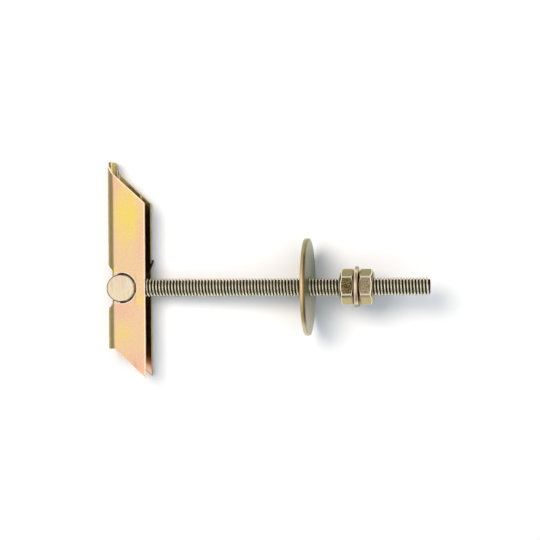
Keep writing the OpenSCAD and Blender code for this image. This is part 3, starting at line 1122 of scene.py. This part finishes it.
class BOLT_OT_rod(bpy.types.Operator):
    """Rolls the thread on the rod"""

    bl_idname = "toggle_bolt.rod"
    bl_label = "Threaded Rod"

    def execute(self, context):
        look = context.scene.toggle_bolt.rod
        start, end = reach("threaded_rod", 0)
        radius = reach("threaded_rod", 1)[1]
        points, faces = thread_mesh(look, start, end, radius)
        rod = add_piece("Threaded_rod", points, faces)
        with opened(rod) as shape:
            for place, way in ((start, -1), (end, 1)):
                everything = shape.verts[:] + shape.edges[:] + shape.faces[:]
                bmesh.ops.bisect_plane(shape, geom=everything, dist=MERGE * MM,
                                       plane_co=BOLT @ Vector((place, 0, 0)),
                                       plane_no=ALONG * way, clear_outer=True)
            bmesh.ops.remove_doubles(shape, verts=shape.verts, dist=MERGE * MM)
            bmesh.ops.holes_fill(shape, edges=[edge for edge in shape.edges if edge.is_boundary])
        dress(rod, rod_finish(look, radius, look.depth / MM), "threaded_rod", "rod")
        return {"FINISHED"}


# Washers

RIM_STEPS = 6           # Steps round each rounding of a washer.


def punched(node, name, look, material):
    """One washer, with its punched edge more rounded than the others."""
    start, end = reach(node, 0)
    bore, rim = ring_radii(node)
    fine, rim_round, burr_round, seam = in_mm(
        look, "edge_round", "rim_round", "punched_round", "seam_width")
    near = rim - burr_round - fine
    line = end - seam
    outline = rounded([(start, bore, fine, 0), (start, near, 0, 0), (start, rim, rim_round, 1),
                       (line - fine, rim, 0, 1), (line, rim, 0, -1), (end, rim, burr_round, -1),
                       (end, near, 0, 0), (end, bore, fine, 0)], RIM_STEPS)
    piece = revolve(name, lambda turn: outline, look.sides)
    dress(piece, material, node, node)


class BOLT_OT_washers(bpy.types.Operator):
    """Punches the large and the small washer"""

    bl_idname = "toggle_bolt.washers"
    bl_label = "Washers"

    def execute(self, context):
        look = context.scene.toggle_bolt.washer
        small_zinc = small_washer_finish(look, *reach("small_washer", 0))
        large_zinc = large_washer_finish(look, sum(reach("large_washer", 0)) / 2)
        punched("large_washer", "Large_washer", look, large_zinc)
        punched("small_washer", "Small_washer", look, small_zinc)
        return {"FINISHED"}


# Nuts

SIXTH = pi / 3          # From one flat to the next.
SOFT = 0.05             # How far the softening between a flat and a corner reaches, in mm.
SEAM = -0.8             # Painted shade in the line beside the chamfer's rubbed, highlighted edge.
NUT_STEPS = 4           # Steps round each rounding of a nut.


def hexagon(node, name, look, material):
    """One nut, with its uppermost flat facing look.turn away from straight up."""
    start, end = reach(node, 0)
    bore, corner = ring_radii(node)
    flats, face, mouth, fine = in_mm(look, "flats", "face", "mouth", "edge_round")
    half_flats, face, mouth = flats / 2, face / 2, mouth / 2
    line = 2 * fine
    down, back = line * cos(look.chamfer), line * sin(look.chamfer)
    sink = mouth - bore

    def side(turn):
        """How far out the nut reaches at a turn, soft where a flat meets a corner."""
        off = (turn - (pi / 2 - look.turn) + SIXTH / 2) % SIXTH - SIXTH / 2
        flat = half_flats / cos(off)
        near = max(SOFT - abs(flat - corner), 0)
        return min(flat, corner) - near * near / (4 * SOFT)

    def outline(turn):
        """The nut's section at a turn, with its rubbed corners, which carry a painted highlight, and the
        painted lines of shade by them.
        """
        out = side(turn)
        rise = (out - face) * tan(look.chamfer)
        from_corner = abs((turn - pi / 2 + look.turn) % SIXTH - SIXTH / 2)
        wear_and_light = max(1 - from_corner / look.corner_wear_and_highlight, 0)
        half = [(0, mouth, fine / 2, 0), (0, face, fine, 0), (rise - back, out - down, 0, SEAM),
                (rise, out, fine, 1), (rise + line, out, 0, wear_and_light)]
        return rounded([(start + into, *rest) for into, *rest in half]
                       + [(end - into, *rest) for into, *rest in reversed(half)]
                       + [(end - sink, bore, fine / 2, 0), (start + sink, bore, fine / 2, 0)],
                       NUT_STEPS)

    piece = revolve(name, outline, look.sides)
    dress(piece, material, node, node)


class BOLT_OT_nuts(bpy.types.Operator):
    """Cuts the two hexagon nuts"""

    bl_idname = "toggle_bolt.nuts"
    bl_label = "Nuts"

    def execute(self, context):
        look = context.scene.toggle_bolt.nut
        material = nut_finish(look, reach("small_washer", 0))
        for node, name in (("inner_nut", "Inner_nut"), ("outer_nut", "Outer_nut")):
            hexagon(node, name, look, material)
        return {"FINISHED"}


# Table, light and camera

SENSOR = 36             # Width of the camera's sensor, in mm.
NEAREST = 0.01          # The camera sees nothing nearer than this, in metres.


def lay_table(look):
    """A square white table."""
    half = look.table / 2
    corners = [(-half, -half, 0), (half, -half, 0), (half, half, 0), (-half, half, 0)]
    mesh = bpy.data.meshes.new("Table")
    mesh.from_pydata(corners, [], [(0, 1, 2, 3)])
    table = put("Table", mesh)
    finish = Finish("White table")
    shader = finish.node("ShaderNodeBsdfDiffuse", {}, {"Color": (*look.shade, 1)})
    mesh.materials.append(finish.close(shader))


def light_room(scene, look):
    """The white room that the metal mirrors, brightest overhead. The lamps light the table."""
    scene.world = bpy.data.worlds.new("Soft room")
    scene.world.cycles_visibility.diffuse = False
    room = Tree(scene.world)
    where = room.node("ShaderNodeTexCoord", {}, {})
    split = room.node("ShaderNodeSeparateXYZ", {}, {"Vector": where.outputs["Generated"]})
    height = room.math("MAXIMUM", Level(room, split.outputs["Z"]), 0)
    strength = look.horizon + (look.zenith - look.horizon) * room.math("POWER", height, look.falloff)
    background = room.node("ShaderNodeBackground", {}, {"Color": (1, 1, 1, 1), "Strength": strength})
    room.node("ShaderNodeOutputWorld", {}, {"Surface": background.outputs["Background"]})


def hang_lamp(name, watts, size, hue, far, lean, turn):
    """A soft round lamp over the bolt, which the metal doesn't mirror."""
    light = bpy.data.lights.new(name, "AREA")
    light.shape = "DISK"
    light.size = size
    light.energy = watts
    light.color = hue
    lamp = put(name, light)
    away = Vector((sin(lean) * cos(turn), sin(lean) * sin(turn), cos(lean)))
    lamp.location = away * far
    lamp.rotation_euler = away.to_track_quat("Z", "Y").to_euler()
    lamp.visible_glossy = False


def set_camera(scene, look):
    """A long lens straight above the bolt, a little past its middle."""
    data = bpy.data.cameras.new("Camera")
    data.sensor_width = SENSOR
    data.lens = look.lens
    data.clip_start = NEAREST
    camera = put("Camera", data)
    place = Matrix.Translation(Vector((look.aside, look.above, look.height)))
    lean = Matrix.Rotation(look.pitch, 4, "X") @ Matrix.Rotation(look.roll, 4, "Z")
    camera.matrix_world = place @ lean
    scene.camera = camera


class BOLT_OT_stage(bpy.types.Operator):
    """Sets the table, the light and the camera"""

    bl_idname = "toggle_bolt.stage"
    bl_label = "Stage"

    def execute(self, context):
        look = context.scene.toggle_bolt.stage
        lay_table(look)
        light_room(context.scene, look)
        hang_lamp("Key lamp", look.key_power, look.key_size, look.key_tone, look.lamp_far,
                  look.key_lean, look.key_from)
        hang_lamp("Fill lamp", look.fill_power, look.fill_size, look.fill_tone, look.lamp_far, 0, 0)
        set_camera(context.scene, look)
        context.scene.view_settings.view_transform = "Standard"
        return {"FINISHED"}


class BOLT_PT_panel(bpy.types.Panel):
    """Lists the bolt's pieces and their settings"""

    bl_label = "Toggle Bolt"
    bl_idname = "BOLT_PT_panel"
    bl_space_type = "VIEW_3D"
    bl_region_type = "UI"
    bl_category = "Toggle Bolt"

    def draw(self, context):
        settings = context.scene.toggle_bolt
        for group, operator in zip(GROUPS, OPERATORS):
            box = self.layout.box()
            box.operator(operator.bl_idname)
            part = getattr(settings, group)
            for name in part.__annotations__:
                box.prop(part, name)


GROUPS = ("wing", "barrel", "spring", "rod", "washer", "nut", "stage")
OPERATORS = (BOLT_OT_wing, BOLT_OT_barrel, BOLT_OT_spring, BOLT_OT_rod, BOLT_OT_washers,
             BOLT_OT_nuts, BOLT_OT_stage)
CLASSES = (WingSettings, BarrelSettings, SpringSettings, RodSettings, WasherSettings, NutSettings,
           StageSettings, BoltSettings, *OPERATORS, BOLT_PT_panel)


def register():
    """Adds the bolt's settings, operators and panel to Blender."""
    for item in CLASSES:
        bpy.utils.register_class(item)
    bpy.types.Scene.toggle_bolt = PointerProperty(type=BoltSettings)


def unregister():
    """Takes them away again."""
    del bpy.types.Scene.toggle_bolt
    for item in reversed(CLASSES):
        bpy.utils.unregister_class(item)


def main():
    """Builds every piece and the stage."""
    register()
    bpy.ops.toggle_bolt.wing()
    bpy.ops.toggle_bolt.barrel()
    bpy.ops.toggle_bolt.spring()
    bpy.ops.toggle_bolt.rod()
    bpy.ops.toggle_bolt.washers()
    bpy.ops.toggle_bolt.nuts()
    bpy.ops.toggle_bolt.stage()


if __name__ == "__main__":
    main()
